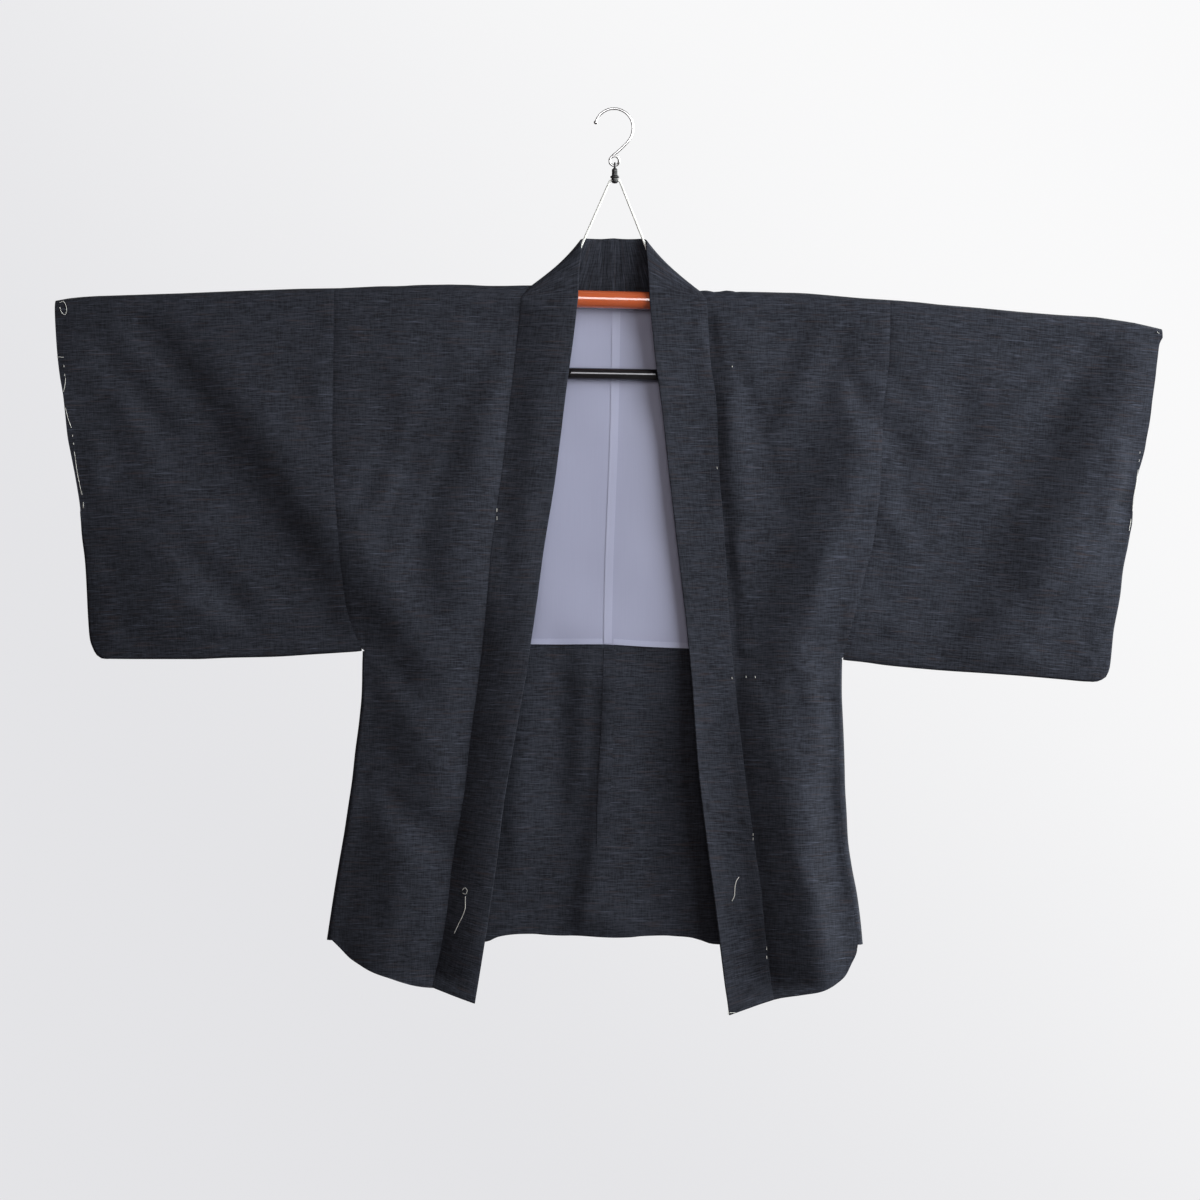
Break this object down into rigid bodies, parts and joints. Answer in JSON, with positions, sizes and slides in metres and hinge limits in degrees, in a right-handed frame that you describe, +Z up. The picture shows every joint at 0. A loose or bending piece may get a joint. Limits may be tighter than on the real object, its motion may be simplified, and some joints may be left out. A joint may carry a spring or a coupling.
{
  "type": "haori jacket on kimono hanger",
  "caption": "Open-fronted haori jacket with wide sleeves, collar band and part lining, hung flat on a kimono hanger with hook and cord.",
  "frame": {"origin": "seat of the hanger's hook: the inside top of the hook's arc, where it rests on a rail", "axes": "+X along the spread sleeves, to the right as one stands before the open fronts; +Y from the fronts to the back; +Z up"},
  "size_m": [1.2993, 0.07, 1.066],
  "materials": {
    "cloth": "dark charcoal navy slub weave",
    "lining": "smooth lavender grey",
    "steel": "drawn wire",
    "dark_plastic": "satin",
    "white_cord": "braided cord",
    "orange_tube": "gloss",
    "black_bar": "gloss"
  },
  "bodies": {
    "root": {"sleeve_left": "cloth", "sleeve_right": "cloth", "body_left": "cloth", "body_right": "cloth", "gusset_left": "cloth", "gusset_right": "cloth", "collar": "cloth", "hem_turnup_left": "cloth", "hem_turnup_right": "cloth", "lining_left": "lining", "lining_right": "lining", "hanger_hook": "steel", "hanger_swivel": "dark_plastic", "hanger_cord": "white_cord", "hanger_tube": "orange_tube", "hanger_bar": "black_bar", "hanger_carrier_left": "dark_plastic", "hanger_carrier_right": "dark_plastic"}
  },
  "joints": []
}
